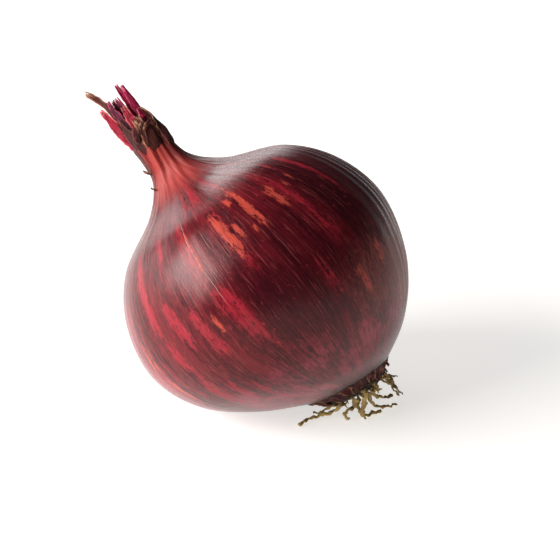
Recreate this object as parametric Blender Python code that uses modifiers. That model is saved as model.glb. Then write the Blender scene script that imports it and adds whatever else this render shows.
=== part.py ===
"""A whole red onion, cured and dry, lying tilted on its flattened underside and its roots.

Metres, +Z up. The bulb's own axis runs from the roots (low, toward +X and the front) to the neck
(high, toward -X and the back). The origin is the middle of the bottom of the whole onion's box.
"""

import math
import random

import bpy
from mathutils import Matrix, Vector

MM = 0.001

# Driving dimensions.
EQUATOR_RADIUS = 39.7 * MM
NECK_TOP = 51.5 * MM          # height of the closed neck above the bulb's centre, along its axis
NECK_RADIUS = 4.3 * MM
SKIN_RIM_DEPTH = 35.2 * MM    # how far below the centre the skin ends around the root plate
SKIN_RIM_RADIUS = 10.8 * MM
TILT = math.radians(41.9)     # lean of the bulb's axis from upright, toward -X
HEADING = math.radians(-20.3)  # turn about Z that makes the neck point a little back as well
FLAT_DEPTH = 0.55 * MM        # how much of the underside is pressed flat where the bulb rests
ASKEW_ACROSS = 0.11           # the root end grew slightly askew: its slope across the tilt ...
ASKEW_BACK = 0.12             # ... and its slope front to back
ROOT_END_SHIFT = 0.9 * MM     # and how far it sits off the axis, toward the upper side
GAP = 0.35 * MM               # clearance between pieces that only touch

PLATE_RADIUS = 9.6 * MM
PLATE_DROP = 4.1 * MM         # how far the corky root plate stands out below the skin's rim

ROOT_RADIUS = 0.5 * MM
ROOT_POINTS = 9
LEAF_THICKNESS = 0.5 * MM

TURN_STEPS = 56


def remove_old_scene():
    for old in list(bpy.data.objects):
        bpy.data.objects.remove(old, do_unlink=True)


def new_collection(name):
    group = bpy.data.collections.new(name)
    bpy.context.scene.collection.children.link(group)
    return group


remove_old_scene()
ONION = new_collection("onion")
CUTTERS = new_collection("cutters")


def finish(name, colour, roughness):
    """One Principled material for one kind of dry onion tissue."""
    material = bpy.data.materials.new(name)
    material.use_nodes = True
    shader = material.node_tree.nodes["Principled BSDF"]
    shader.inputs["Base Color"].default_value = (*colour, 1.0)
    shader.inputs["Roughness"].default_value = roughness
    shader.inputs["Metallic"].default_value = 0.0
    return material


def place(name, data, material, group=None):
    piece = bpy.data.objects.new(name, data)
    (group or ONION).objects.link(piece)
    if material is not None:
        piece.data.materials.append(material)
    return piece


def freeze(piece):
    """Replaces an object's data by the mesh that its curve or modifiers make."""
    bpy.context.view_layer.update()
    graph = bpy.context.evaluated_depsgraph_get()
    mesh = bpy.data.meshes.new_from_object(piece.evaluated_get(graph))
    mesh.name = piece.name
    for polygon in mesh.polygons:
        polygon.use_smooth = True
    if piece.type == "MESH":
        piece.modifiers.clear()
        piece.data = mesh
        return piece
    name = piece.name
    group = piece.users_collection[0]
    bpy.data.objects.remove(piece, do_unlink=True)
    return place(name, mesh, None, group)


def turned(name, points, material):
    """A closed solid turned about Z from a smooth profile of (radius, height), top to bottom."""
    curve = bpy.data.curves.new(name, "CURVE")
    curve.dimensions = "3D"
    curve.resolution_u = 3
    spline = curve.splines.new("BEZIER")
    spline.bezier_points.add(len(points) - 1)
    for knot, (radius, height) in zip(spline.bezier_points, points):
        knot.co = (radius, 0.0, height)
        knot.handle_left_type = "AUTO"
        knot.handle_right_type = "AUTO"
    piece = freeze(place(name, curve, material))
    for vertex in piece.data.vertices:
        vertex.co.x = max(vertex.co.x, 0.0)
    screw = piece.modifiers.new("turn", "SCREW")
    screw.axis = "Z"
    screw.steps = TURN_STEPS
    screw.render_steps = TURN_STEPS
    screw.use_merge_vertices = True
    screw.merge_threshold = 0.00005
    piece = freeze(piece)
    piece.data.materials.clear()
    piece.data.materials.append(material)
    return piece


def grow_askew(piece):
    """Leans the root half of a piece the way the real bulb's underside grew, more toward the roots."""
    for vertex in piece.data.vertices:
        x, y, z = vertex.co
        depth = max(-z / SKIN_RIM_DEPTH, 0.0)
        slope = ASKEW_ACROSS * x + ASKEW_BACK * y
        vertex.co.x = x + ROOT_END_SHIFT * depth ** 2
        vertex.co.z = z - slope * depth ** 2


LAY_DOWN = Matrix.Rotation(HEADING, 4, "Z") @ Matrix.Rotation(-TILT, 4, "Y")


def lay_down(piece):
    piece.rotation_euler = (0.0, -TILT, HEADING)


# The bulb: fleshy scales in a papery skin that runs up into the dry neck. One closed solid.
skin = finish("skin", (0.20, 0.02, 0.035), 0.35)
BULB_PROFILE = [
    (0.0, NECK_TOP),
    (0.55 * NECK_RADIUS, NECK_TOP - 0.1 * MM),
    (NECK_RADIUS, NECK_TOP - 1.2 * MM),
    (4.6 * MM, 46.3 * MM),
    (5.6 * MM, 41.2 * MM),
    (8.0 * MM, 37.6 * MM),
    (13.2 * MM, 33.2 * MM),
    (27.4 * MM, 26.0 * MM),
    (36.2 * MM, 14.9 * MM),
    (EQUATOR_RADIUS, 0.0),
    (34.7 * MM, -15.7 * MM),
    (24.0 * MM, -27.6 * MM),
    (15.2 * MM, -33.2 * MM),
    (SKIN_RIM_RADIUS, -SKIN_RIM_DEPTH),
    (0.5 * SKIN_RIM_RADIUS, -SKIN_RIM_DEPTH + 0.6 * MM),
    (0.0, -SKIN_RIM_DEPTH + 0.8 * MM),
]
bulb = turned("bulb", BULB_PROFILE, skin)
grow_askew(bulb)
lay_down(bulb)

lowest = min((LAY_DOWN @ vertex.co).z for vertex in bulb.data.vertices)
FLOOR = lowest + FLAT_DEPTH

bpy.ops.mesh.primitive_cube_add(size=0.1, location=(0.0, 0.0, FLOOR - 0.05))
flat_cutter = bpy.context.object
flat_cutter.name = "flat_cutter"
for holder in list(flat_cutter.users_collection):
    holder.objects.unlink(flat_cutter)
CUTTERS.objects.link(flat_cutter)
flat_cutter.hide_render = True
flat_cutter.display_type = "WIRE"

cut = bulb.modifiers.new("flat spot", "BOOLEAN")
cut.operation = "DIFFERENCE"
cut.solver = "EXACT"
cut.object = flat_cutter


# The root plate: the corky disc of stem that all the roots grow from.
cork = finish("cork", (0.035, 0.02, 0.015), 0.9)
plate_top = -SKIN_RIM_DEPTH - GAP + 0.2 * MM
PLATE_PROFILE = [
    (0.0, plate_top),
    (0.6 * PLATE_RADIUS, plate_top - 0.2 * MM),
    (0.97 * PLATE_RADIUS, plate_top - 0.7 * MM),
    (PLATE_RADIUS, -SKIN_RIM_DEPTH - 0.5 * PLATE_DROP),
    (0.81 * PLATE_RADIUS, -SKIN_RIM_DEPTH - 0.83 * PLATE_DROP),
    (0.47 * PLATE_RADIUS, -SKIN_RIM_DEPTH - 0.97 * PLATE_DROP),
    (0.0, -SKIN_RIM_DEPTH - PLATE_DROP),
]
root_plate = turned("root_plate", PLATE_PROFILE, cork)
grow_askew(root_plate)
lay_down(root_plate)


# The roots: dried strands that hang from the plate and end on or just above the surface.
straw = finish("straw", (0.33, 0.23, 0.09), 0.8)


def plate_point(turn, reach):
    """A point just off the face of the root plate, turned about the bulb's axis, and laid down."""
    radius = reach * PLATE_RADIUS
    x = radius * math.cos(turn)
    y = radius * math.sin(turn)
    z = -SKIN_RIM_DEPTH - PLATE_DROP * (1.0 - 0.4 * reach ** 4) - ROOT_RADIUS - GAP
    slope = ASKEW_ACROSS * x + ASKEW_BACK * y
    return LAY_DOWN @ Vector((x + ROOT_END_SHIFT, y, z - slope))


def root(name, turn, reach, tip, sag, wave, radius):
    """One strand, from the plate to its tip (X, Y from the bulb's centre, height off the floor)."""
    start = plate_point(math.radians(turn), reach)
    end = Vector((tip[0] * MM, tip[1] * MM, FLOOR + max(tip[2] * MM, radius)))
    outward = (LAY_DOWN @ Vector((0.0, 0.0, -1.0))).normalized()
    knee = start.lerp(end, 0.35) + outward * sag * MM
    side = (end - start).cross(outward).normalized()
    curve = bpy.data.curves.new(name, "CURVE")
    curve.dimensions = "3D"
    curve.bevel_depth = radius
    curve.bevel_resolution = 1
    curve.use_fill_caps = True
    spline = curve.splines.new("POLY")
    spline.points.add(ROOT_POINTS - 1)
    for index, point in enumerate(spline.points):
        step = index / (ROOT_POINTS - 1)
        first = start.lerp(knee, step)
        second = knee.lerp(end, step)
        sway = wave * MM * math.sin(step * 2.2 * math.pi) * step
        spot = first.lerp(second, step) + side * sway
        spot.z = max(spot.z, FLOOR + radius)
        point.co = (*spot, 1.0)
        point.radius = 1.0 - 0.35 * step
    return freeze(place(name, curve, straw))


# turn and reach on the plate; tip; sag and sideways wave in mm; strand radius in mm
FRONT_ROOTS = [
    (262, 0.86, (9.0, -17.1, 0.5), 1.0, 0.5, 0.55),
    (288, 0.86, (21.0, -15.2, 2.4), 1.8, 0.6, 0.60),
    (312, 0.85, (31.7, -9.8, 0.5), 3.0, 0.5, 0.60),
    (338, 0.84, (35.2, -3.6, 1.8), 2.0, 0.6, 0.60),
    (326, 0.52, (36.3, -6.4, 0.6), 2.5, 0.6, 0.50),
    (8, 0.86, (35.9, -0.9, 6.4), 1.0, 0.3, 0.50),
    (346, 0.55, (31.6, -6.4, 4.6), 0.6, 0.2, 0.40),
    (236, 0.55, (13.0, -10.8, 0.5), 0.6, 0.3, 0.45),
    (292, 0.48, (27.2, -13.0, 0.5), 1.2, 0.6, 0.50),
]
roots = []
for number, (turn, reach, tip, sag, wave, radius) in enumerate(FRONT_ROOTS, start=1):
    roots.append(root(f"root_{number:02d}", turn, reach, tip, sag, wave, radius * MM))

# The roots behind fan out the same way: an outer ring that reaches the surface, and a short inner one.
grown = random.Random(11)


def ring_of_roots(count, first_turn, last_turn, reach, length, drop):
    for index in range(count):
        turn = first_turn + (last_turn - first_turn) * index / (count - 1)
        start = plate_point(math.radians(turn), reach) / MM
        heading = HEADING + math.radians(0.85 * turn)
        stretch = length * grown.uniform(0.8, 1.2)
        tip = (
            start.x + 0.8 * stretch * math.cos(heading),
            start.y + stretch * math.sin(heading),
            max(start.z - FLOOR / MM - drop, 0.5) if drop else 0.5,
        )
        name = f"root_{len(roots) + 1:02d}"
        roots.append(root(name, turn, reach, tip, 1.2, 0.3, ROOT_RADIUS))


ring_of_roots(count=8, first_turn=46.0, last_turn=140.0, reach=0.85, length=9.0, drop=0.0)
ring_of_roots(count=4, first_turn=66.0, last_turn=150.0, reach=0.40, length=3.5, drop=2.0)


# The neck's torn ends: dry leaf bases left standing around the closed neck.
def leaf_end(name, material, facing, low, high, out, lean, width, bow, taper):
    """A strip of dry leaf, bowed around the neck: placed by facing (deg) and mm along the axis."""
    columns = 4
    rows = 7
    bpy.ops.mesh.primitive_grid_add(x_subdivisions=columns, y_subdivisions=rows, size=2.0)
    piece = bpy.context.object
    for holder in list(piece.users_collection):
        holder.objects.unlink(piece)
    ONION.objects.link(piece)
    piece.name = name
    piece.data.name = name
    turn = math.radians(facing)
    outward = Vector((math.cos(turn), math.sin(turn), 0.0))
    sideways = Vector((-math.sin(turn), math.cos(turn), 0.0))
    for vertex in piece.data.vertices:
        across = vertex.co.x
        up = 0.5 * (vertex.co.y + 1.0)
        half = 0.5 * width * (1.0 - taper * up ** 2)
        reach = out + lean * up ** 2 - bow * across ** 2 * (half / (0.5 * width)) ** 2
        spot = outward * reach + sideways * across * half
        spot.z = low + (high - low) * up
        vertex.co = spot * MM
    wall = piece.modifiers.new("wall", "SOLIDIFY")
    wall.thickness = LEAF_THICKNESS
    wall.offset = 0.0
    piece = freeze(piece)
    piece.data.materials.clear()
    piece.data.materials.append(material)
    lay_down(piece)
    return piece


husk = finish("husk", (0.10, 0.045, 0.025), 0.75)
blush = finish("blush", (0.50, 0.03, 0.09), 0.45)
wine = finish("wine", (0.09, 0.012, 0.03), 0.55)

# name, finish, facing, low, high, out, lean, width, bow, taper
LEAF_ENDS = [
    ("collar_back", husk, 51, 52.0, 58.2, 4.2, -0.4, 6.8, 2.0, 0.35),
    ("collar_front", husk, 314, 52.0, 57.0, 4.2, 0.0, 4.0, 0.8, 0.40),
    ("collar_left", husk, 257, 52.0, 59.8, 4.3, 0.0, 3.4, 0.6, 0.60),
    ("collar_behind", husk, 149, 52.0, 59.3, 4.2, -0.2, 4.2, 0.9, 0.50),
    ("red_leaf_end", blush, 209, 52.1, 63.8, 4.4, 0.5, 2.9, 0.3, 0.70),
    ("wine_leaf_end", wine, 281, 52.2, 63.8, 1.3, 0.2, 3.4, 0.4, 0.60),
    ("pink_leaf_end_left", blush, 45, 52.3, 66.6, 1.8, 0.5, 2.3, 0.2, 0.55),
    ("pink_leaf_end_right", blush, 39, 52.3, 65.6, 2.7, 0.8, 2.2, 0.2, 0.60),
    ("wine_leaf_end_back", wine, 149, 52.3, 61.8, 1.5, 0.2, 2.7, 0.3, 0.50),
    ("curled_leaf_end", husk, 213, 52.3, 70.0, 2.8, 1.4, 2.6, 0.2, 0.50),
]
for leaf in LEAF_ENDS:
    leaf_end(*leaf)

# A small dark flake of dry skin that stands off the side of the neck.
leaf_end("neck_flake", husk, 231, 41.6, 44.4, 5.9, 0.7, 1.6, 0.1, 0.30)


# Everything hangs from one empty, which puts the origin in the middle of the bottom of the box.
pose = bpy.data.objects.new("onion_pose", None)
ONION.objects.link(pose)
bpy.context.view_layer.update()
corners = [
    piece.matrix_world @ vertex.co
    for piece in ONION.objects
    if piece.type == "MESH"
    for vertex in piece.data.vertices
]
middle_x = 0.5 * (min(c.x for c in corners) + max(c.x for c in corners))
middle_y = 0.5 * (min(c.y for c in corners) + max(c.y for c in corners))
for piece in list(ONION.objects) + list(CUTTERS.objects):
    if piece is not pose:
        piece.parent = pose
pose.location = (-middle_x, -middle_y, -FLOOR)
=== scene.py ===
import math
import random

import bpy
import numpy as np
from mathutils import Matrix, Vector, noise


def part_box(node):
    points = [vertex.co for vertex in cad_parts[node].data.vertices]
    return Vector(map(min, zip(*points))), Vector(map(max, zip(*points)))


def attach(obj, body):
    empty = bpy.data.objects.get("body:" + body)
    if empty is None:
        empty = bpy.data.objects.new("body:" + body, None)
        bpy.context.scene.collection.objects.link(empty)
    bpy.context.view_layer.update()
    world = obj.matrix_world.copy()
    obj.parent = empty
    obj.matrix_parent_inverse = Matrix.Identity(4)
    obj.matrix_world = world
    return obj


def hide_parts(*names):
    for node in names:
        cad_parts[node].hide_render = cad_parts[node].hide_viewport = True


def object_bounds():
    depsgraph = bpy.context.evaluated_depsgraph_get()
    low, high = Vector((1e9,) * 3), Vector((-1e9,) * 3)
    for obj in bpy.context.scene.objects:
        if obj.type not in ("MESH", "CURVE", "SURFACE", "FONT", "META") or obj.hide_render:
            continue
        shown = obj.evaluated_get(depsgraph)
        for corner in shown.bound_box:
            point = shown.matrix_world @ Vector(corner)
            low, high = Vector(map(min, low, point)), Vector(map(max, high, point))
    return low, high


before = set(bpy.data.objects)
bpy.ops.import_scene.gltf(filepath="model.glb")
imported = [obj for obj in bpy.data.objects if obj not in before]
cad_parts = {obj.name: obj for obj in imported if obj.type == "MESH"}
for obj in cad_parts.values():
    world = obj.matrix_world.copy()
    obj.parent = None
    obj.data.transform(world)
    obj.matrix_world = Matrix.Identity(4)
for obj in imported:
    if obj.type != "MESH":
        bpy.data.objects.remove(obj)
packed_low, packed_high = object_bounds()


# CAMERA
# A short telephoto view from the front, a little above the onion, as in a product picture.
# The bulb's middle is found from its box, and everything after this is placed from it.
bulb_low, bulb_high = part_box("bulb")
MIDDLE_FROM_RIGHT = 0.03859
MIDDLE_FROM_BOTTOM = 0.03477
BULB_MIDDLE = Vector((
    bulb_high.x - MIDDLE_FROM_RIGHT,
    0.5 * (bulb_low.y + bulb_high.y),
    bulb_low.z + MIDDLE_FROM_BOTTOM,
))
CAMERA_HEIGHT_ANGLE = math.radians(25.0)
CAMERA_DISTANCE = 0.3586
AIM_RIGHT = 0.00396
AIM_UP = 0.0010

camera_right = Vector((1.0, 0.0, 0.0))
camera_up = Vector((0.0, math.sin(CAMERA_HEIGHT_ANGLE), math.cos(CAMERA_HEIGHT_ANGLE)))
camera_back = Vector((0.0, -math.cos(CAMERA_HEIGHT_ANGLE), math.sin(CAMERA_HEIGHT_ANGLE)))
aim = BULB_MIDDLE + AIM_RIGHT * camera_right + AIM_UP * camera_up
bpy.ops.object.select_all(action="DESELECT")
bpy.ops.object.camera_add(
    location=aim + CAMERA_DISTANCE * camera_back,
    rotation=(math.radians(90.0) - CAMERA_HEIGHT_ANGLE, 0.0, 0.0),
)
camera = bpy.context.object
camera.name = "camera"
camera.data.lens = 85.0
camera.data.sensor_width = 36.0
camera.data.clip_start = 0.01
bpy.context.scene.camera = camera
bpy.context.scene.view_settings.view_transform = "Standard"


# FLOOR AND LIGHT
# A white sheet under the onion and a large window-like light at the front left. A bright wall
# behind, one at the left and a small light high at the back left are softer, and the room adds
# a faint light from everywhere else.
class Amount:
    """A number that varies over a surface: arithmetic on it adds the Math nodes."""

    def __init__(self, recipe, socket):
        self.recipe = recipe
        self.socket = socket

    def math(self, operation, *others):
        values = [getattr(value, "socket", value) for value in (self, *others)]
        made = self.recipe.node("ShaderNodeMath", {"operation": operation}, dict(enumerate(values)))
        return Amount(self.recipe, made.outputs[0])

    def flipped(self, operation, other):
        made = self.recipe.node("ShaderNodeMath", {"operation": operation}, {0: other, 1: self.socket})
        return Amount(self.recipe, made.outputs[0])

    def __add__(self, other):
        return self.math("ADD", other)

    def __sub__(self, other):
        return self.math("SUBTRACT", other)

    def __mul__(self, other):
        return self.math("MULTIPLY", other)

    def __radd__(self, other):
        return self.math("ADD", other)

    def __rmul__(self, other):
        return self.math("MULTIPLY", other)

    def __rsub__(self, other):
        return self.flipped("SUBTRACT", other)

    def clamped(self):
        made = self.recipe.node("ShaderNodeClamp", {}, {"Value": self.socket})
        return Amount(self.recipe, made.outputs[0])

    def between(self, low, high):
        """0 below low, 1 above high, and smooth in between."""
        settings = {"interpolation_type": "SMOOTHSTEP"}
        sockets = {"Value": self.socket, "From Min": low, "From Max": high}
        made = self.recipe.node("ShaderNodeMapRange", settings, sockets)
        return Amount(self.recipe, made.outputs[0])


class Recipe:
    """The nodes of one finish."""

    def __init__(self, name):
        self.material = bpy.data.materials.new(name)
        self.material.use_nodes = True
        self.tree = self.material.node_tree
        self.shader = self.tree.nodes["Principled BSDF"]

    def node(self, kind, settings, sockets):
        made = self.tree.nodes.new(kind)
        for key, value in settings.items():
            setattr(made, key, value)
        for key, value in sockets.items():
            value = getattr(value, "socket", value)
            if isinstance(value, bpy.types.NodeSocket):
                self.tree.links.new(value, made.inputs[key])
            else:
                made.inputs[key].default_value = value
        return made

    def painted(self, name):
        """A number stored on the surface's points."""
        made = self.node("ShaderNodeAttribute", {"attribute_name": name}, {})
        return Amount(self, made.outputs["Fac"])

    def place(self, name=None):
        """Where a point is: in the piece's own stored coordinates, or in the object's."""
        if name:
            return self.node("ShaderNodeAttribute", {"attribute_name": name}, {}).outputs["Vector"]
        return self.node("ShaderNodeTexCoord", {}, {}).outputs["Object"]

    def grain(self, where, stretch, detail=3.0, roughness=0.55, offset=0.0, distortion=0.0):
        """Noise, finer along whichever way its stretch is larger."""
        settings = {"operation": "MULTIPLY_ADD"}
        shift = (offset, 0.7 * offset, 1.3 * offset)
        spread = self.node("ShaderNodeVectorMath", settings, {0: where, 1: stretch, 2: shift})
        sockets = {
            "Vector": spread.outputs[0],
            "Scale": 1.0,
            "Detail": detail,
            "Roughness": roughness,
            "Distortion": distortion,
        }
        return Amount(self, self.node("ShaderNodeTexNoise", {}, sockets).outputs[0])

    def mix(self, amount, under, over):
        """The colour under, covered by the colour over where the amount is 1."""
        colours = {6: under, 7: over, 0: amount}
        for key in (6, 7):
            if isinstance(colours[key], tuple):
                colours[key] = (*colours[key], 1.0)
        settings = {"data_type": "RGBA", "clamp_factor": True}
        return self.node("ShaderNodeMix", settings, colours).outputs[2]

    def wear(self, **sockets):
        """Sets or joins the shader's own sockets."""
        for key, value in sockets.items():
            value = getattr(value, "socket", value)
            target = self.shader.inputs[key.replace("_", " ")]
            if isinstance(value, bpy.types.NodeSocket):
                self.tree.links.new(value, target)
            elif isinstance(value, tuple):
                target.default_value = (*value, 1.0)
            else:
                target.default_value = value
        return self.material

    def relief(self, height, distance, strength=1.0):
        sockets = {"Height": height, "Distance": distance, "Strength": strength}
        return self.node("ShaderNodeBump", {}, sockets).outputs[0]


FLOOR_SIZE = 6.0
bpy.ops.object.select_all(action="DESELECT")
bpy.ops.mesh.primitive_plane_add(size=FLOOR_SIZE, location=(0.0, 0.0, packed_low.z))
bpy.ops.object.transform_apply()
floor = bpy.context.object
floor.name = "floor"
floor.data.materials.append(
    Recipe("white sheet").wear(
        Base_Color=(0.62, 0.60, 0.57),
        Roughness=0.9,
        Specular_IOR_Level=0.1,
        Emission_Color=(1.0, 0.985, 0.965),
        Emission_Strength=0.64,
    )
)


def softbox(name, direction, distance, width, height, strength, colour=(1.0, 1.0, 1.0)):
    """A rectangular light that faces the onion; its strength is how bright its face looks."""
    way = Vector(direction).normalized()
    bpy.ops.object.select_all(action="DESELECT")
    bpy.ops.object.light_add(type="AREA", location=BULB_MIDDLE + distance * way)
    light = bpy.context.object
    light.name = name
    light.rotation_euler = way.to_track_quat("Z", "Y").to_euler()
    light.data.shape = "RECTANGLE"
    light.data.size = width
    light.data.size_y = height
    light.data.energy = strength * math.pi * width * height
    light.data.color = colour


softbox("window", (-0.83, -0.31, 0.47), 0.85, 0.66, 0.50, 14.5)
softbox("back_wall", (-0.42, 0.88, 0.30), 1.1, 1.1, 0.36, 3.4)
softbox("top_left", (-0.50, 0.62, 0.62), 1.2, 0.55, 0.55, 1.3)
softbox("left_wall", (-0.98, 0.18, 0.16), 1.0, 0.8, 0.30, 3.4)

# The room itself: bright near the horizon, dark overhead where nothing but the ceiling shows.
HORIZON_GLOW = (0.26, 0.26, 0.265)
CEILING = (0.05, 0.05, 0.052)
world = bpy.data.worlds.new("studio")
world.use_nodes = True
studio = world.node_tree
sky_way = studio.nodes.new("ShaderNodeTexCoord")
sky_height = studio.nodes.new("ShaderNodeSeparateXYZ")
studio.links.new(sky_way.outputs["Generated"], sky_height.inputs[0])
sky_ramp = studio.nodes.new("ShaderNodeValToRGB")
sky_ramp.color_ramp.elements[0].position = 0.10
sky_ramp.color_ramp.elements[0].color = (*HORIZON_GLOW, 1.0)
sky_ramp.color_ramp.elements[1].position = 0.42
sky_ramp.color_ramp.elements[1].color = (*CEILING, 1.0)
studio.links.new(sky_height.outputs["Z"], sky_ramp.inputs["Fac"])
studio.links.new(sky_ramp.outputs["Color"], studio.nodes["Background"].inputs["Color"])
bpy.context.scene.world = world


# BULB
# The fleshy scales inside their papery skin, one closed body that draws in to a dry, wrinkled neck.
# The skin's fibres run from neck to roots, and its colour lies along them in torn streaks.
MM = 0.001
TILT = math.radians(41.9)
HEADING = math.radians(-20.3)
SKIN_RIM_DEPTH = 35.2
DEEPEST = 1.12   # how far past the skin's rim the askew root end goes on, as a share of its depth
ASKEW_ACROSS = 0.11
ASKEW_BACK = 0.12
ROOT_END_SHIFT = 0.9
BULB_ROUND = 448
BULB_RINGS = 184
BULB_PROFILE = [  # radius and height above the middle, mm, from the neck's top to the root plate
    (0.0, 49.5),
    (2.4, 50.0),
    (4.2, 50.2),
    (4.6, 46.3),
    (5.6, 41.2),
    (8.0, 37.6),
    (13.2, 33.2),
    (27.4, 26.0),
    (36.2, 14.9),
    (39.7, 0.0),
    (34.7, -15.7),
    (24.0, -27.6),
    (15.2, -33.2),
    (10.8, -35.2),
    (5.4, -34.6),
    (0.0, -34.4),
]
LAY_DOWN = Matrix.Rotation(HEADING, 3, "Z") @ Matrix.Rotation(-TILT, 3, "Y")


def through(points, steps):
    """A smooth path through points, as an array with a row for each step from 0 to 1."""
    points = np.asarray(points, float)
    knots = np.concatenate([[0.0], np.cumsum(np.linalg.norm(np.diff(points, axis=0), axis=1) ** 0.5)])
    slopes = np.gradient(points, knots, axis=0)
    at = np.asarray(steps) * knots[-1]
    index = np.clip(np.searchsorted(knots, at) - 1, 0, len(points) - 2)
    gap = (knots[index + 1] - knots[index])[:, None]
    u = ((at - knots[index]) / gap[:, 0])[:, None]
    start = (1 + 2 * u) * (1 - u) ** 2 * points[index] + u * (1 - u) ** 2 * gap * slopes[index]
    return start + u ** 2 * (3 - 2 * u) * points[index + 1] + u ** 2 * (u - 1) * gap * slopes[index + 1]


def corners(piece):
    co = np.empty(3 * len(piece.data.vertices))
    piece.data.vertices.foreach_get("co", co)
    return co.reshape(-1, 3)


def lay_down(piece, local):
    """Moves a piece's points from the upright bulb (mm from its middle) to where the onion lies."""
    depth = np.clip(-local[:, 2] / SKIN_RIM_DEPTH, 0.0, DEEPEST) ** 2
    slope = ASKEW_ACROSS * local[:, 0] + ASKEW_BACK * local[:, 1]
    grown = local.copy()
    grown[:, 0] += ROOT_END_SHIFT * depth
    grown[:, 2] -= slope * depth
    placed = grown @ np.array(LAY_DOWN).T * MM + np.array(BULB_MIDDLE)
    piece.data.vertices.foreach_set("co", placed.ravel())
    piece.data.update()


def store(piece, name, values):
    kind = "FLOAT_VECTOR" if values.ndim == 2 else "FLOAT"
    layer = piece.data.attributes.new(name, kind, "POINT")
    layer.data.foreach_set("vector" if values.ndim == 2 else "value", values.astype(np.float32).ravel())


def settle(piece, name):
    """Names a finished piece, smooths it and lets it ride with the onion."""
    piece.name = name
    piece.data.name = name
    piece.data.polygons.foreach_set("use_smooth", [True] * len(piece.data.polygons))
    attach(piece, "root")


def soft_step(value, low, high):
    t = np.clip((value - low) / (high - low), 0.0, 1.0)
    return t * t * (3 - 2 * t)


bpy.ops.object.select_all(action="DESELECT")
bpy.ops.mesh.primitive_uv_sphere_add(segments=BULB_ROUND, ring_count=BULB_RINGS, radius=1.0)
skin = bpy.context.object
ball = corners(skin)
down = np.arccos(np.clip(ball[:, 2], -1.0, 1.0)) / math.pi
turn = np.degrees(np.arctan2(ball[:, 1], ball[:, 0])) % 360.0

fine = np.linspace(0.0, 1.0, 2001)
path = through(BULB_PROFILE, fine)
path[:, 0] = np.maximum(path[:, 0], 0.0)
run = np.concatenate([[0.0], np.cumsum(np.linalg.norm(np.diff(path, axis=0), axis=1))])
RIM_RUN = run[np.argmax(path[:, 1])]   # the neck's rim, from which the fibres are measured
reach = down * run[-1]
radius = np.interp(reach, run, path[:, 0])
height = np.interp(reach, run, path[:, 1])
along = reach - RIM_RUN                 # mm of skin from the neck's rim


def apart(angle, middle):
    """Degrees between directions around the bulb, signed."""
    return (angle - middle + 180.0) % 360.0 - 180.0


# Ribs and hollows that the dry outer skin has taken from the scales under it.
grown = random.Random(5)
body = soft_step(along, 14.0, 34.0) * (1.0 - soft_step(along, 92.0, 106.0))
swell = np.zeros(len(along))
FINE_RIBS = 64
for number in range(FINE_RIBS):
    middle = number * 5.6 + grown.uniform(-1.6, 1.6)
    size = grown.uniform(0.01, 0.05)
    half = grown.uniform(0.8, 2.0)
    swell += body * size * np.exp(-(apart(turn, middle) / half) ** 2)
RIM_RIBS = [(356, 0.08), (3, 0.15), (8, 0.22), (13, 0.26), (18, 0.26), (23.5, 0.22), (30, 0.16)]
for middle, size in RIM_RIBS:
    swell += body * size * np.exp(-(apart(turn, middle + 1.5 * np.sin(along / 14.0)) / 1.5) ** 2)
turns = np.radians(turn)
swell += body * 0.25 * np.sin(3 * turns + 0.6)
swell += body * 0.16 * np.sin(5 * turns + 2.0)
swell += body * 0.10 * np.sin(9 * turns + along / 30.0)

# The neck dried into folds that twist slightly and fade out on the shoulder.
neck = 1.0 - soft_step(along, 6.0, 24.0)
twist = turns + along * 0.035
NECK_FOLDS = [(0.30, 2, 0.4), (0.26, 5, 1.0), (0.20, 9, 0.0), (0.12, 17, 2.0)]   # mm, count, phase
for size, count, phase in NECK_FOLDS:
    swell += neck * size * np.sin(count * twist + phase)
shoulder = soft_step(along, 9.0, 17.0) * (1.0 - soft_step(along, 22.0, 36.0))
SHOULDER_FOLDS = 30
for number in range(SHOULDER_FOLDS):
    middle = number * 360.0 / SHOULDER_FOLDS + grown.uniform(-4.0, 4.0)
    size = grown.uniform(0.05, 0.22)
    half = grown.uniform(1.8, 4.5)
    swell += shoulder * size * np.exp(-(apart(turn, middle) / half) ** 2)
swell *= np.clip(radius / 4.0, 0.0, 1.0)

local = np.stack([
    (radius + swell) * np.cos(turns),
    (radius + swell) * np.sin(turns),
    height + 0.25 * swell,
], axis=1)
lay_down(skin, local)
placed = corners(skin)
placed[:, 2] = np.maximum(placed[:, 2], bulb_low.z)
skin.data.vertices.foreach_set("co", placed.ravel())


def streak(start, end, half, strength=1.0):
    """How much of one streak each point has: from (degrees, mm) to (degrees, mm), half as wide."""
    (turn_a, run_a), (turn_b, run_b) = start, end
    u = (along - run_a) / (run_b - run_a)
    middle = turn_a + (turn_b - turn_a) * np.clip(u, 0.0, 1.0)
    ends = soft_step(u, -0.15, 0.3) * (1.0 - soft_step(u, 0.6, 1.15))
    sides = 1.0 - soft_step(np.abs(apart(turn, middle)) / half, 0.1, 1.7)
    return strength * ends * sides


def patch(middle, wide, tall, strength=1.0):
    """A soft-edged oval: its middle (degrees, mm), half width in degrees and half height in mm."""
    away = np.hypot(apart(turn, middle[0]) / wide, (along - middle[1]) / tall)
    return strength * (1.0 - soft_step(away, 0.3, 1.3))


def strongest(masks):
    return np.clip(np.max(masks, axis=0), 0.0, 1.0)


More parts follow.
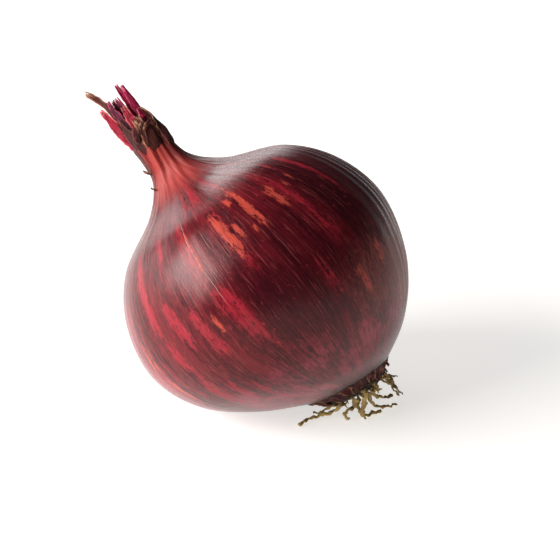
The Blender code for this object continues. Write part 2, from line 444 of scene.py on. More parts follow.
coral = strongest([
    streak((302.0, 38), (302.5, 55), 2.2),
    streak((301.0, 37), (300.0, 46), 1.0, 0.8),
    streak((306.8, 45), (307.0, 51), 1.2),
    streak((312.3, 37), (312.5, 41), 1.2),
    streak((317.0, 33), (317.2, 53), 1.7),
    streak((330.0, 42), (330.5, 52), 2.4, 0.75),
    streak((338.0, 44), (338.0, 48), 0.8, 0.6),
    streak((342.5, 43), (343.0, 50), 1.0, 0.55),
    streak((285.5, 33), (286.0, 54), 0.9, 0.7),
    streak((279.5, 60), (279.6, 67), 0.9, 0.8),
    streak((313.0, 49), (313.2, 52), 0.9, 0.7),
    streak((238.0, 56), (239.0, 67), 2.0, 0.9),
    streak((239.5, 67), (240.5, 79), 1.6, 0.8),
    streak((233.0, 64), (234.5, 74), 1.4, 0.7),
    streak((335.0, 74), (336.0, 83), 2.2, 0.6),
    streak((348.0, 72), (348.5, 80), 1.8, 0.6),
])
crimson = strongest([
    streak((249.0, 34), (254.5, 60), 2.6),
    streak((255.0, 59), (257.0, 72), 2.0, 0.9),
    streak((256.5, 70), (254.0, 88), 2.8),
    streak((262.5, 50), (266.5, 66), 2.4),
    streak((267.5, 33), (268.5, 42), 1.6, 0.8),
    streak((273.0, 55), (276.0, 74), 2.6, 0.65),
    streak((286.5, 55), (290.0, 76), 3.4, 0.85),
    streak((289.0, 60), (292.0, 80), 1.4, 0.8),
    streak((283.5, 33), (285.0, 56), 2.4, 0.6),
    streak((291.0, 20), (292.0, 34), 2.5, 0.7),
    streak((300.0, 14), (300.5, 34), 3.6, 0.9),
    streak((302.5, 32), (303.5, 62), 4.0, 0.45),
    streak((316.5, 18), (317.0, 36), 2.0, 0.6),
    streak((322.0, 64), (322.5, 80), 2.0, 0.55),
    streak((334.0, 32), (335.5, 74), 2.2, 0.5),
    streak((344.0, 32), (344.0, 44), 1.2, 0.5),
    streak((352.5, 32), (353.0, 60), 1.1, 0.85),
    streak((272.0, 80), (271.0, 104), 2.4, 0.7),
    streak((264.0, 74), (262.0, 92), 2.6, 0.5),
    streak((246.0, 62), (248.0, 82), 1.6, 0.5),
])
deep = strongest([
    patch((305.0, 67), 15.0, 13.0),
    patch((313.0, 77), 15.0, 7.0, 0.8),
    patch((347.0, 52), 12.0, 20.0),
    patch((320.0, 60), 14.0, 18.0, 0.75),
    patch((309.0, 47), 5.0, 9.0, 0.5),
    patch((5.0, 50), 14.0, 24.0, 0.8),
    patch((226.0, 5), 18.0, 9.0),
    patch((350.0, 9), 26.0, 7.0, 0.6),
])
haze = strongest([
    patch((344.0, 80), 20.0, 13.0, 0.6),
    patch((4.0, 84), 18.0, 16.0, 0.9),
    patch((324.0, 34), 16.0, 9.0, 0.35),
    patch((20.0, 70), 16.0, 24.0, 0.7),
])
# Mauve: the skin's own pinkish mottling low on the bulb, together with painted sheen. The large patch at the
# left is a painted grazing highlight, and the low patches are partly a painted reflection of the bright
# floor.
mauve_and_sheen = strongest([
    patch((225.0, 70), 24.0, 34.0, 0.85),
    patch((288.0, 104), 7.0, 5.0, 0.9),
    patch((259.0, 87), 8.0, 8.0, 0.7),
    patch((316.0, 97), 34.0, 12.0, 0.6),
    patch((294.0, 88), 26.0, 10.0, 0.5),
    patch((262.0, 100), 30.0, 14.0, 0.75),
    patch((326.5, 89), 2.5, 1.6, 0.9),
    patch((314.0, 96), 3.5, 2.2, 0.7),
    patch((308.0, 83), 4.0, 2.0, 0.5),
    patch((345.0, 98), 16.0, 9.0, 0.6),
    patch((0.0, 92), 10.0, 8.0, 0.6),
    patch((336.0, 80), 3.0, 3.0, 0.8),
    patch((349.0, 76), 3.0, 3.5, 0.8),
    patch((356.0, 88), 4.0, 3.0, 0.8),
])

# The side away from the window has streaks of the same kinds, scattered by chance.
BACK_STREAKS = 46
BACK_PATCHES = 9
for number in range(BACK_STREAKS):
    middle = grown.uniform(32.0, 222.0)
    begin = grown.uniform(20.0, 78.0)
    length = grown.uniform(9.0, 26.0)
    half = grown.uniform(0.9, 3.6)
    end = (middle + grown.uniform(-2.0, 2.0), begin + length)
    mark = streak((middle, begin), end, half, grown.uniform(0.5, 1.0))
    if number % 4:
        crimson = np.maximum(crimson, mark)
    else:
        coral = np.maximum(coral, mark)
for number in range(BACK_PATCHES):
    spot = (grown.uniform(36.0, 210.0), grown.uniform(40.0, 80.0))
    wide, tall = grown.uniform(8.0, 16.0), grown.uniform(10.0, 18.0)
    deep = np.maximum(deep, patch(spot, wide, tall, grown.uniform(0.5, 1.0)))
    spot = (grown.uniform(36.0, 210.0), grown.uniform(76.0, 100.0))
    wide, tall = grown.uniform(8.0, 18.0), grown.uniform(8.0, 14.0)
    mauve_and_sheen = np.maximum(mauve_and_sheen, patch(spot, wide, tall, grown.uniform(0.4, 0.8)))

store(skin, "fibre", np.stack([np.cos(turns), np.sin(turns), along / 40.0], axis=1))
store(skin, "along", along)
store(skin, "coral", coral)
store(skin, "crimson", crimson)
store(skin, "deep", deep)
store(skin, "haze", haze)
store(skin, "mauve_and_sheen", mauve_and_sheen)

CREASE_TURN = -73.6   # a fine pale crease in the skin, in degrees around the bulb


def onion_skin():
    paint = Recipe("red onion skin")
    fibre = paint.place("fibre")
    along = paint.painted("along")
    hair = paint.grain(fibre, (95.0, 95.0, 5.0), detail=3.0, distortion=0.15)
    strand = paint.grain(fibre, (34.0, 34.0, 3.0), detail=4.0, offset=3.0, distortion=0.2)
    band = paint.grain(fibre, (11.0, 11.0, 1.6), detail=4.0, offset=9.0)
    fleck = paint.grain(fibre, (34.0, 34.0, 15.0), detail=6.0, roughness=0.78, offset=5.0)
    crumbs = paint.grain(fibre, (110.0, 110.0, 48.0), detail=3.0, roughness=0.7, offset=6.0)
    cloud = paint.grain(fibre, (5.0, 5.0, 5.0), detail=4.0, offset=2.0)

    def torn(mask, soft=0.16):
        """A mask whose edge is broken up along the fibres."""
        ragged = mask + (strand - 0.5) * 2.0 + (fleck - 0.5) * 3.4
        ragged = ragged + (crumbs - 0.5) * 1.6 + (hair - 0.5) * 1.0
        cover = ragged.between(0.5 - soft, 0.5 + soft) * mask.between(0.05, 0.45)
        return cover * (0.55 + 0.9 * (hair - 0.2)).clamped()

    ground = (strand * 0.5 + fleck * 0.5).between(0.38, 0.62)
    colour = paint.mix(ground, (0.040, 0.0030, 0.0058), (0.100, 0.0060, 0.0095))
    colour = paint.mix((band * 0.6 + fleck * 0.4).between(0.42, 0.62) * 0.75, colour, (0.150, 0.0085, 0.014))
    shadowed = (paint.painted("deep") + (fleck - 0.5) * 0.8).clamped()
    colour = paint.mix(shadowed * 0.75, colour, (0.024, 0.0024, 0.005))
    crimson = torn(paint.painted("crimson"), 0.5)
    colour = paint.mix(crimson * 0.9, colour, (0.33, 0.016, 0.030))
    speckle = (fleck + (crumbs - 0.5) * 0.5).between(0.60, 0.74)
    colour = paint.mix(speckle * 0.7, colour, (0.34, 0.036, 0.036))
    pits = (fleck + (crumbs - 0.5) * 0.5).between(0.42, 0.30)
    colour = paint.mix(pits * 0.55, colour, (0.022, 0.003, 0.005))
    # mauve blots: the skin's pinkish mottling with painted sheen in it
    mauve_and_sheen = paint.painted("mauve_and_sheen")
    blot_and_sheen = mauve_and_sheen + (cloud - 0.5) * 1.6 + (fleck - 0.5) * 1.3 + (strand - 0.5) * 0.9
    blot_and_sheen = blot_and_sheen.between(0.25, 0.95) * mauve_and_sheen.between(0.02, 0.3)
    colour = paint.mix(blot_and_sheen * 0.75, colour, (0.30, 0.034, 0.055))
    haze = paint.painted("haze")
    dusty = haze + (cloud - 0.5) * 1.0 + (fleck - 0.5) * 2.2
    dusty = dusty.between(0.2, 1.0) * haze.between(0.02, 0.3)
    colour = paint.mix(dusty * 0.8, colour, (0.20, 0.052, 0.036))
    coral = torn(paint.painted("coral"), 0.3)
    colour = paint.mix(coral, colour, (0.47, 0.062, 0.040))

    # the neck: salmon in front, deep maroon behind, brown and dry toward the rim
    sheet = along.between(24.0, 12.0)
    front = paint.grain(fibre, (1.3, 1.3, 2.0), detail=2.0, offset=7.4)
    colour = paint.mix(sheet * 0.75, colour, (0.11, 0.010, 0.014))
    parts = paint.node("ShaderNodeSeparateXYZ", {}, {0: fibre})
    facing = Amount(paint, parts.outputs[0]) * 0.34 + Amount(paint, parts.outputs[1]) * -0.94
    salmon = sheet * (facing + (strand - 0.5) * 0.9 + (front - 0.5) * 0.6).between(0.35, 0.95)
    colour = paint.mix(salmon * 0.8, colour, (0.38, 0.040, 0.030))
    colour = paint.mix(sheet * paint.painted("deep") * 0.8, colour, (0.045, 0.006, 0.008))
    # dark mottling on the neck: painted shade in its wrinkles
    wrinkle_shade = sheet * (fleck * 0.6 + hair * 0.4).between(0.48, 0.66)
    colour = paint.mix(wrinkle_shade * 0.65, colour, (0.10, 0.010, 0.010))
    dry = (along + (fleck - 0.5) * 14.0).between(5.0, -1.0)
    colour = paint.mix(dry * 0.8, colour, (0.060, 0.016, 0.012))

    # fine hairs lie over everything, and the skin's end around the roots is painted dark: partly its own dark
    # brown, partly painted shade on the underside
    colour = paint.mix(hair.between(0.50, 0.68) * 0.42, colour, (0.012, 0.002, 0.003))
    colour = paint.mix(hair.between(0.45, 0.25) * 0.16, colour, (0.60, 0.16, 0.14))
    root_end_dark_and_shade = (along + (fleck - 0.5) * 7.0).between(108.0, 111.5)
    colour = paint.mix(root_end_dark_and_shade * 0.92, colour, (0.020, 0.009, 0.006))

    angle = Amount(paint, parts.outputs[1]).math("ARCTAN2", parts.outputs[0]) * (180.0 / math.pi)
    wander = along * 0.055 + (cloud - 0.5) * 3.0
    off = (angle - CREASE_TURN - wander + 3.0).math("ABSOLUTE")
    crease = off.between(0.22, 0.05) * along.between(30.0, 36.0) * along.between(64.0, 54.0)
    colour = paint.mix(crease * 0.6, colour, (0.55, 0.25, 0.20))

    height = hair * 0.9 + strand * 0.3 + fleck * 0.7 + crumbs * 0.2 - crease * 0.8
    rough = 0.12 + fleck * 0.18 + dusty * 0.2 + sheet * 0.2
    return paint.wear(
        Base_Color=colour,
        Roughness=rough,
        Specular_IOR_Level=0.27,
        Specular_Tint=(1.0, 0.70, 0.68),
        Coat_Weight=0.03,
        Coat_Roughness=0.12,
        Normal=paint.relief(height, 0.00016, 0.5),
    )


skin.data.materials.append(onion_skin())
settle(skin, "skin")
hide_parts("bulb")


# ROOT PLATE
# The corky disc of stem under the bulb: dark brown, cracked and crumbly, with the skin's edge
# ending raggedly around it.
PLATE_RADIUS = 9.6
PLATE_DROP = 4.1
bpy.ops.object.select_all(action="DESELECT")
bpy.ops.mesh.primitive_uv_sphere_add(segments=120, ring_count=60, radius=1.0)
plate = bpy.context.object
ball = corners(plate)
lumps = np.array([
    noise.fractal(Vector(p) * 4.0, 0.9, 2.2, 4) * 0.5 + noise.noise(Vector(p) * 14.0) * 0.25 for p in ball
])
local = ball * [PLATE_RADIUS, PLATE_RADIUS, 0.5 * PLATE_DROP + 0.6]
local += ball * lumps[:, None] * [0.9, 0.9, 1.2]
local[:, 2] += -SKIN_RIM_DEPTH - 0.5 * PLATE_DROP + 0.3
lay_down(plate, local)

paint = Recipe("corky root plate")
where = paint.place()
crumb = paint.grain(where, (900.0, 900.0, 900.0), detail=6.0, roughness=0.7)
lump = paint.grain(where, (260.0, 260.0, 260.0), detail=3.0)
colour = paint.mix(crumb.between(0.35, 0.7), (0.012, 0.006, 0.004), (0.085, 0.045, 0.022))
colour = paint.mix(lump.between(0.55, 0.75) * 0.5, colour, (0.20, 0.13, 0.06))
plate.data.materials.append(paint.wear(
    Base_Color=colour,
    Roughness=0.9,
    Normal=paint.relief(crumb, 0.0008),
))
settle(plate, "cork_plate")
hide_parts("root_plate")


# ROOTS
# Dried feeder roots, grown from the plate: straw-brown, crinkled, flattened and pale at the tips.
# They bend where they meet the surface, and a few break into finer hairs.
ROOT_SIDES = 8
ROOT_STEPS = 60
FLOOR_Z = (bulb_low.z - BULB_MIDDLE.z) / MM   # the surface, in mm from the bulb's middle

paint = Recipe("dried root")
where = paint.place()
ring = paint.grain(where, (1500.0, 1500.0, 1500.0), detail=4.0, roughness=0.7)
tone = paint.grain(where, (130.0, 130.0, 130.0), detail=2.0)
pale = paint.painted("pale")
colour = paint.mix(tone.between(0.35, 0.65), (0.24, 0.145, 0.040), (0.58, 0.40, 0.125))
colour = paint.mix(ring.between(0.52, 0.72) * 0.55, colour, (0.12, 0.062, 0.020))
colour = paint.mix((pale + (ring - 0.5) * 0.6).between(0.45, 0.95), colour, (0.58, 0.40, 0.14))
dried_root = paint.wear(
    Base_Color=colour,
    Roughness=0.75,
    Normal=paint.relief(ring, 0.0005),
)


def lie(point):
    """Where a point of the upright bulb (mm from its middle) comes to lie, in mm."""
    depth = min(max(-point[2] / SKIN_RIM_DEPTH, 0.0), DEEPEST) ** 2
    slope = ASKEW_ACROSS * point[0] + ASKEW_BACK * point[1]
    grown_to = Vector((point[0] + ROOT_END_SHIFT * depth, point[1], point[2] - slope * depth))
    return LAY_DOWN @ grown_to


def dried_strand(name, points, thick, seed, crinkle=0.2, pale_end=0.5, taper=0.4):
    """A crinkled strand through points in mm from the bulb's middle, as thick as said at its start."""
    chance = random.Random(seed)
    steps = np.linspace(0.0, 1.0, ROOT_STEPS + 1)
    line = through(points, steps)
    phase = [chance.uniform(0.0, 6.3) for _ in range(6)]
    length = np.linalg.norm(np.diff(line, axis=0), axis=1).sum()
    way = np.gradient(line, axis=0)
    way /= np.linalg.norm(way, axis=1)[:, None] + 1e-9
    side = np.cross(way, [0.0, 0.0, 1.0]) + np.array([1e-4, 0.0, 0.0])
    side /= np.linalg.norm(side, axis=1)[:, None]
    over = np.cross(side, way)
    beat = steps * length
    free = soft_step(steps, 0.0, 0.12)
    sway = crinkle * free * (np.sin(beat * 1.7 + phase[0]) + 0.6 * np.sin(beat * 3.3 + phase[1]))
    lift = crinkle * free * 0.7 * (np.sin(beat * 2.1 + phase[2]) + 0.5 * np.sin(beat * 4.1 + phase[3]))
    line = line + side * sway[:, None] + over * lift[:, None]
    knots = 1.0 + 0.22 * np.sin(beat * 2.7 + phase[4]) + 0.12 * np.sin(beat * 6.1 + phase[5])
    girth = 1.35 * thick * (1.0 - taper * steps) * knots
    girth[-1] *= 0.35
    flat = 0.62 + 0.2 * np.sin(beat * 0.9 + phase[1])

    bpy.ops.object.select_all(action="DESELECT")
    bpy.ops.mesh.primitive_cylinder_add(vertices=ROOT_SIDES, radius=1.0, depth=1.0, end_fill_type="TRIFAN")
    strand = bpy.context.object
    bpy.ops.object.mode_set(mode="EDIT")
    bpy.ops.mesh.select_all(action="DESELECT")
    bpy.ops.object.mode_set(mode="OBJECT")
    upright = corners(strand)
    for edge in strand.data.edges:
        a, b = (upright[v] for v in edge.vertices)
        edge.select = abs(a[2] - b[2]) > 0.5
    bpy.ops.object.mode_set(mode="EDIT")
    bpy.ops.mesh.select_mode(type="EDGE")
    bpy.ops.mesh.subdivide(number_cuts=ROOT_STEPS - 1)
    bpy.ops.object.mode_set(mode="OBJECT")
    upright = corners(strand)
    row = np.clip(np.round((upright[:, 2] + 0.5) * ROOT_STEPS).astype(int), 0, ROOT_STEPS)
    section = side[row] * upright[:, :1] + over[row] * upright[:, 1:2] * flat[row, None]
    spot = line[row] + girth[row, None] * section
    spot[:, 2] = np.maximum(spot[:, 2], FLOOR_Z + 0.02)
    strand.data.vertices.foreach_set("co", (spot * MM + np.array(BULB_MIDDLE)).ravel())
    bpy.ops.object.mode_set(mode="EDIT")
    bpy.ops.mesh.select_all(action="SELECT")
    bpy.ops.mesh.normals_make_consistent(inside=False)
    bpy.ops.object.mode_set(mode="OBJECT")
    strand.data.update()
    store(strand, "pale", steps[row] * pale_end + 0.25 * np.sin(beat[row] * 0.8 + phase[5]))
    strand.data.materials.append(dried_root)
    settle(strand, name)
    return strand


def plate_spot(turn_degrees, share, sink=0.6):
    """A point on the root plate's face, where it lies, in mm from the bulb's middle."""
    angle = math.radians(turn_degrees)
    drop = PLATE_DROP * (1.0 - 0.4 * share ** 4)
    across = share * PLATE_RADIUS
    return lie((across * math.cos(angle), across * math.sin(angle), -SKIN_RIM_DEPTH - drop + sink))


# turn and share on the plate; radius; then bends and tip as (right, back, height off the surface), mm
SHOWN_ROOTS = [
    ("root_01", 262, 0.88, 0.62,
     [(18.6, -13.9, 3.0), (15.1, -14.2, 2.0), (11.5, -15.2, 1.2), (9.0, -17.1, 0.6)]),
    ("root_02", 288, 0.88, 0.62,
     [(24.2, -12.8, 3.8), (22.6, -13.6, 3.2), (21.4, -14.6, 2.0), (23.0, -14.4, 0.9)]),
    ("root_03", 312, 0.86, 0.66,
     [(26.4, -13.4, 2.2), (26.8, -12.4, 0.7), (29.1, -11.0, 0.6), (31.9, -9.6, 0.7)]),
    ("root_04", 338, 0.86, 0.60,
     [(29.6, -8.6, 5.2), (31.6, -6.6, 3.4), (33.6, -4.9, 2.2), (35.4, -3.6, 2.0)]),
    ("root_05", 326, 0.55, 0.52,
     [(29.6, -9.8, 2.6), (32.2, -8.4, 1.2), (34.6, -7.0, 0.7), (36.6, -6.2, 0.8)]),
    ("root_06", 8, 0.9, 0.46,
     [(32.0, -4.0, 8.6), (34.0, -2.0, 7.4), (35.9, -0.7, 6.6)]),
    ("root_07", 346, 0.6, 0.40,
     [(30.0, -7.0, 6.2), (31.8, -6.0, 5.0)]),
    ("root_08", 236, 0.6, 0.45,
     [(18.0, -10.6, 2.6), (15.5, -11.0, 1.2), (13.0, -11.0, 0.6)]),
    ("root_09", 292, 0.5, 0.46,
     [(25.6, -12.4, 2.4), (26.6, -13.2, 1.0), (27.6, -13.6, 0.6)]),
]
PALE_ROOTS = ("root_02", "root_03")
for number, (name, turned, share, thick, bends) in enumerate(SHOWN_ROOTS):
    points = [plate_spot(turned, share, 1.2), plate_spot(turned, share, -0.3)]
    points += [Vector((x, y, z + FLOOR_Z)) for x, y, z in bends]
    pale_end = 0.9 if name in PALE_ROOTS else 0.45
    strand = dried_strand(f"dried_{name}", points, thick, seed=40 + number, pale_end=pale_end)
    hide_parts(name)

# The roots behind follow the same fan, from the plate's edge outward and down.
hidden = [f"root_{number:02d}" for number in range(10, 22)]
OUTER_ROOTS = 8   # the first of them ring the plate, and the rest grow nearer its middle
chance = random.Random(17)
for number, name in enumerate(hidden):
    low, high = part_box(name)
    outer = number < OUTER_ROOTS
    if outer:
        turned = 46.0 + 94.0 * number / (OUTER_ROOTS - 1)
    else:
        turned = 66.0 + 84.0 * (number - OUTER_ROOTS) / (len(hidden) - OUTER_ROOTS - 1)
    share = 0.86 if outer else 0.42
    start = plate_spot(turned, share, 1.0)
    tip = (Vector((high.x, high.y, low.z)) - BULB_MIDDLE) / MM
    tip += Vector((chance.uniform(-2.2, 0.6), chance.uniform(-2.4, 0.4), 0.5 + chance.uniform(0.0, 1.2)))
    knee = start.lerp(tip, 0.4) + Vector((chance.uniform(-0.4, 1.2), chance.uniform(-0.6, 1.2), 1.2))
    points = [start, knee, start.lerp(tip, 0.75), tip]
    strand = dried_strand(f"dried_{name}", points, chance.uniform(0.40, 0.62), seed=70 + number)
    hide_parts(name)

# Finer hairs that broke off between the roots.
ROOT_HAIRS = 9
chance = random.Random(23)
for number in range(ROOT_HAIRS):
    turned = chance.uniform(228.0, 400.0) % 360.0
    share = chance.uniform(0.3, 0.92)
    start = plate_spot(turned, share, 0.8)
    outward = LAY_DOWN @ Vector((math.cos(math.radians(turned)), math.sin(math.radians(turned)), -1.3))
    length = chance.uniform(2.0, 5.0)
    tip = start + outward.normalized() * length
    tip.z = max(tip.z, FLOOR_Z + 0.3)
    sway = Vector((chance.uniform(-0.8, 0.8), chance.uniform(-0.8, 0.8), chance.uniform(-0.6, 0.3)))
    bend = start.lerp(tip, 0.5) + sway
    bend.z = max(bend.z, FLOOR_Z + 0.3)
    thick = chance.uniform(0.18, 0.34)
    name = f"root_hair_{number + 1:02d}"
    dried_strand(name, [start, bend, tip], thick, seed=100 + number, crinkle=0.15)


# NECK LEAVES
# What is left of the green leaves: dry strips torn off above the closed neck, some brown and
# papery, some still pink or wine-red inside, thin as paper with ragged ends.
LEAF_ACROSS = 18
LEAF_UP = 44
LEAF_THICK = 0.16 * MM


def leaf_finish(name, dark, light, edge, rough):
    paint = Recipe(name)
    leaf = paint.place("leaf")
    vein = paint.grain(leaf, (16.0, 1.4, 1.0), detail=4.0)
    mottle = paint.grain(leaf, (7.0, 7.0, 1.0), detail=5.0, roughness=0.65, offset=4.0)
    rim = paint.painted("rim")
    colour = paint.mix(vein.between(0.35, 0.65), dark, light)
    colour = paint.mix(mottle.between(0.5, 0.75) * 0.5, colour, dark)
    colour = paint.mix((rim + (mottle - 0.5) * 0.5).between(0.72, 1.0), colour, edge)
    return paint.wear(
        Base_Color=colour,
        Roughness=rough,
        Specular_IOR_Level=0.25,
        Normal=paint.relief(vein, 0.0003),
    )


brown_husk = leaf_finish(
    "brown husk", (0.026, 0.005, 0.004), (0.125, 0.020, 0.013), (0.40, 0.19, 0.11), 0.7
)
dark_husk = leaf_finish("dark husk", (0.020, 0.003, 0.004), (0.085, 0.009, 0.009), (0.19, 0.050, 0.034), 0.65)
pink_leaf = leaf_finish("pink leaf end", (0.30, 0.006, 0.045), (0.80, 0.022, 0.130), (0.78, 0.16, 0.26), 0.55)
red_leaf = leaf_finish("red leaf end", (0.20, 0.008, 0.022), (0.48, 0.022, 0.050), (0.68, 0.16, 0.16), 0.55)
wine_leaf = leaf_finish(
    "wine leaf end", (0.030, 0.003, 0.010), (0.12, 0.008, 0.030), (0.34, 0.030, 0.075), 0.6
)


def torn_leaf(
    name, facing, spine, widths, bow, finish, seed,
    curl=0.0, twist=0.0, spin=0.0, ragged=0.12, slot="husk",
):
    """A thin torn strip of leaf that follows a spine of (out, sideways, height) around the axis, mm.

    It is bowed by bow mm, spun about its spine and twisted along it in degrees, and its sides curl.
    """
    chance = random.Random(seed)
    bpy.ops.object.select_all(action="DESELECT")
    bpy.ops.mesh.primitive_grid_add(x_subdivisions=LEAF_ACROSS, y_subdivisions=LEAF_UP, size=2.0)
    leaf = bpy.context.object
    flat = corners(leaf)
    across = flat[:, 0]
    up = 0.5 * (flat[:, 1] + 1.0)
    shift = chance.uniform(0.0, 50.0)
    tear = np.array([noise.fractal(Vector((a * 2.2 + shift, 0.0, 0.0)), 0.8, 2.2, 4) for a in across])
    up_to = up * (1.0 + ragged * tear * soft_step(up, 0.4, 1.0))
    middle = through(spine, np.clip(up_to, 0.0, 1.0))
    beyond = through(spine, np.clip(up_to + 0.01, 0.0, 1.0))
    ahead = beyond - through(spine, np.clip(up_to - 0.01, 0.0, 1.0))
    ahead /= np.linalg.norm(ahead, axis=1)[:, None]
    half = 0.5 * np.interp(up, np.linspace(0.0, 1.0, len(widths)), widths)
    nick = np.array([
        noise.fractal(Vector((u * 9.0, math.copysign(7.0, a) + shift, 0.0)), 0.8, 2.2, 3)
        for a, u in zip(across, up)
    ])
    half = half * (1.0 + 0.22 * nick * np.abs(across))
    side = np.tile([0.0, 1.0, 0.0], (len(up), 1))
    face = np.cross(side, ahead)
    angle = math.radians(spin) + math.radians(twist) * up + across * curl * soft_step(up, 0.1, 1.0)
    turned_side = side * np.cos(angle)[:, None] + face * np.sin(angle)[:, None]
    ripple = np.array([noise.noise(Vector((a * 1.6 + shift, u * 5.0, 2.0))) for a, u in zip(across, up)])
    arch = -bow * across ** 2 * (half / max(0.5 * max(widths), 0.1)) ** 2 + 0.35 * ripple
    spot = middle + turned_side * (across * half)[:, None] + np.cross(turned_side, ahead) * arch[:, None]
    direction = math.radians(facing)
    outward = np.array([math.cos(direction), math.sin(direction), 0.0])
    sideways = np.array([-math.sin(direction), math.cos(direction), 0.0])
    local = spot[:, :1] * outward + spot[:, 1:2] * sideways + spot[:, 2:] * [0.0, 0.0, 1.0]
    lay_down(leaf, local)
    store(leaf, "leaf", np.stack([across, up * 4.0, np.full(len(up), shift)], axis=1))
    store(leaf, "rim", np.maximum(np.abs(across), soft_step(up, 0.6, 1.0)))
    wall = leaf.modifiers.new("wall", "SOLIDIFY")
    wall.thickness = LEAF_THICK
    wall.offset = 0.0
    bpy.ops.object.modifier_apply(modifier="wall")
    leaf.data.materials.append(finish)
    settle(leaf, name)
    return leaf


def grow(leaves):
    """Makes each leaf of a list, and hides the node it is named beside."""
    for name, node, finish, seed, facing, bow, way, spine, widths in leaves:
        leaf = torn_leaf(name, facing, spine, widths, bow, finish, seed, **way)
        if node:
            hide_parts(node)


# The brown collar: husk that stands up around the neck and bulges where it tore.
# Each row: name, node, finish, seed, facing in degrees, bow, how it lies; spine; widths.
COLLAR = [
    ("husk_back", "collar_back", brown_husk, 3, 45, 2.2, dict(curl=0.25, ragged=0.2),
     [(3.2, 0, 43.5), (4.9, 0, 47.5), (5.2, 0.3, 51), (4.9, 0, 54.5), (3.4, -0.4, 58.0)],
     [6.4, 7.6, 8.2, 7.4, 4.6]),
    ("husk_front", "collar_front", brown_husk, 4, 314, 1.1, dict(curl=-0.3, ragged=0.35),
     [(3.6, 0, 44.5), (4.6, 0, 48.0), (5.0, 0.2, 51.5), (4.4, 0.4, 54.0), (3.6, 0.5, 56.5)],
     [4.4, 5.6, 5.6, 4.6, 2.6]),
    ("husk_left", "collar_left", dark_husk, 5, 252, 0.8, dict(curl=0.3, ragged=0.25),
     [(3.8, 0, 45.5), (4.5, 0, 49.0), (4.5, 0, 53.0), (4.2, 0, 56.0), (4.0, 0.2, 59.0)],
     [3.6, 4.2, 3.6, 2.6, 1.2]),
    ("husk_behind", "collar_behind", dark_husk, 6, 149, 1.6, dict(curl=0.3, ragged=0.25),
     [(3.2, 0, 44.5), (4.5, 0, 49.0), (4.6, 0, 53.0), (4.2, 0, 56.5), (3.6, 0.2, 59.3)],
     [6.0, 6.8, 6.0, 4.6, 2.2]),
    ("husk_strip", None, brown_husk, 8, 296, 0.2, dict(curl=0.5),
     [(4.4, -0.6, 47.0), (5.0, -0.2, 49.5), (5.0, 0.6, 52.0), (4.3, 1.4, 54.5)],
     [0.9, 1.4, 1.3, 0.6]),
    ("husk_roll", None, brown_husk, 9, 330, 0.8, dict(curl=0.8, ragged=0.5),
     [(4.9, -1.4, 51.4), (5.6, -0.4, 52.8), (5.6, 0.8, 53.6), (4.8, 1.8, 53.4)],
     [1.6, 2.2, 2.0, 1.0]),
    ("husk_lip", None, dark_husk, 12, 282, 0.6, dict(curl=0.7, ragged=0.5),
     [(4.7, -0.8, 50.4), (5.4, -0.2, 51.8), (5.4, 0.4, 53.2), (4.6, 0.6, 54.4)],
     [1.8, 2.2, 1.8, 0.8]),
    ("husk_side", None, dark_husk, 13, 8, 1.0, dict(curl=-0.3, ragged=0.3),
     [(4.4, 0, 43.0), (5.6, 0, 46.0), (5.8, 0.3, 49.5), (5.2, 0.6, 53.0), (4.2, 0.5, 56.5)],
     [2.6, 4.0, 4.6, 4.2, 2.0]),
]
grow(COLLAR)

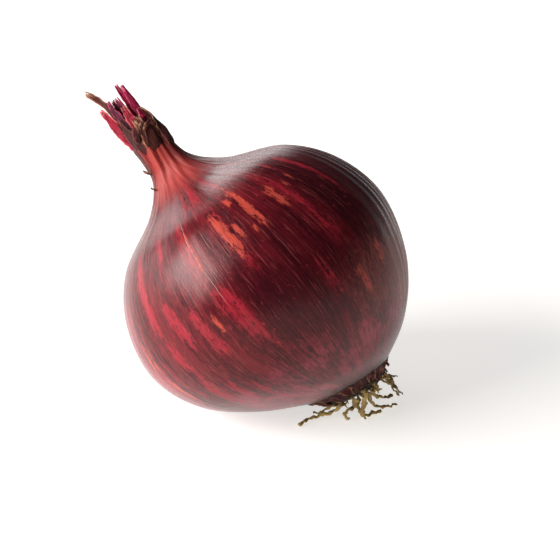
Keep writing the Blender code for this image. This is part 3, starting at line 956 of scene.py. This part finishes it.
# The coloured ends inside the collar.
LEAF_ENDS = [
    ("red_shard", "red_leaf_end", red_leaf, 14, 209, 0.3,
     dict(spin=-70, curl=0.3, ragged=0.1, slot="blush"),
     [(3.6, 0, 49.5), (4.4, 0, 53.0), (4.7, 0, 58.0), (4.9, 0.2, 63.8)],
     [3.0, 3.2, 2.6, 0.9]),
    ("wine_middle", "wine_leaf_end", wine_leaf, 15, 281, 0.4, dict(curl=0.3, ragged=0.35, slot="wine"),
     [(1.0, 0, 48.0), (1.4, 0, 53.0), (1.6, 0, 58.5), (1.6, 0.2, 63.8)],
     [3.2, 3.6, 3.2, 1.8]),
    ("pink_left", "pink_leaf_end_left", pink_leaf, 16, 45, 0.25,
     dict(spin=70, curl=0.2, ragged=0.12, slot="blush"),
     [(1.2, 0, 48.5), (1.8, 0, 54.0), (2.1, 0, 60.0), (2.4, 0, 66.6)],
     [2.4, 2.6, 2.4, 1.3]),
    ("pink_right", "pink_leaf_end_right", pink_leaf, 17, 39, 0.25,
     dict(spin=70, curl=-0.2, ragged=0.12, slot="blush"),
     [(2.2, -0.3, 48.5), (2.8, -0.3, 54.0), (3.2, -0.2, 60.0), (3.7, 0, 65.6)],
     [2.3, 2.5, 2.2, 1.1]),
    ("wine_behind", "wine_leaf_end_back", wine_leaf, 18, 149, 0.3, dict(curl=0.2, ragged=0.3, slot="wine"),
     [(1.2, 0, 48.0), (1.6, 0, 53.0), (1.7, 0, 58.0), (1.8, 0, 61.8)],
     [2.8, 3.0, 2.4, 1.2]),
    ("curled_brown", "curled_leaf_end", brown_husk, 19, 213, 0.9,
     dict(spin=-60, curl=0.9, twist=40, ragged=0.3),
     [(2.2, 0, 50.0), (2.8, 0, 56.0), (3.0, 0, 62.0), (3.6, -0.3, 66.5), (5.0, -0.6, 70.0)],
     [2.6, 2.8, 2.4, 2.8, 2.4]),
    ("pink_crumb", None, pink_leaf, 20, 350, 0.2, dict(ragged=0.5, slot="blush"),
     [(3.4, 0, 52.5), (3.9, 0, 55.5), (4.0, 0.3, 58.0)],
     [1.4, 2.2, 1.2]),
    ("wine_front", None, wine_leaf, 21, 250, 0.4, dict(curl=0.35, ragged=0.4, slot="wine"),
     [(2.4, 0, 50.0), (2.9, 0, 55.0), (3.0, 0, 60.0), (2.8, 0.3, 64.2)],
     [3.0, 3.4, 3.0, 1.4]),
    ("red_inner", None, red_leaf, 22, 300, 0.3, dict(curl=0.3, ragged=0.4, slot="blush"),
     [(2.6, 0, 50.0), (3.0, 0, 54.0), (3.0, 0, 58.0), (2.7, 0.3, 61.0)],
     [2.2, 2.8, 2.2, 1.0]),
]
grow(LEAF_ENDS)


# NECK FLAKE
# Small scraps of the neck's outermost skin that dried loose and stand off its side.
NECK_FLAKES = [
    ("flake_dark", "neck_flake", brown_husk, 24, 231, 0.2, dict(curl=0.5, ragged=0.4),
     [(5.0, 0, 41.4), (6.0, 0, 42.8), (6.7, 0, 44.4)],
     [1.6, 1.8, 0.8]),
    ("flake_pale", None, brown_husk, 25, 236, 0.1, dict(curl=0.4, ragged=0.4),
     [(6.9, 0, 37.8), (7.8, 0, 38.6), (8.4, 0, 39.4)],
     [1.0, 1.0, 0.4]),
]
grow(NECK_FLAKES)


# TORN SKIN AT THE ROOTS
# The papery skin's lower edge, split into short points around the root plate.
chance = random.Random(31)
SKIN_POINTS = 26
for number in range(SKIN_POINTS):
    facing = number * 360.0 / SKIN_POINTS + chance.uniform(-4.0, 4.0)
    reach_out = chance.uniform(9.6, 11.2)
    deep_to = chance.uniform(36.8, 38.4)
    point = (reach_out - chance.uniform(0.2, 1.6), chance.uniform(-0.8, 0.8), -deep_to)
    spine = [(12.6, 0, -34.4), (11.4, 0, -35.4), (reach_out, 0, -36.6), point]
    widths = [3.2, 3.0, 2.2, chance.uniform(0.3, 1.0)]
    finish = dark_husk if number % 3 else brown_husk
    name = f"skin_point_{number + 1:02d}"
    curl = chance.uniform(-0.3, 0.3)
    torn_leaf(name, facing, spine, widths, 0.3, finish, 200 + number, curl=curl, ragged=0.4)
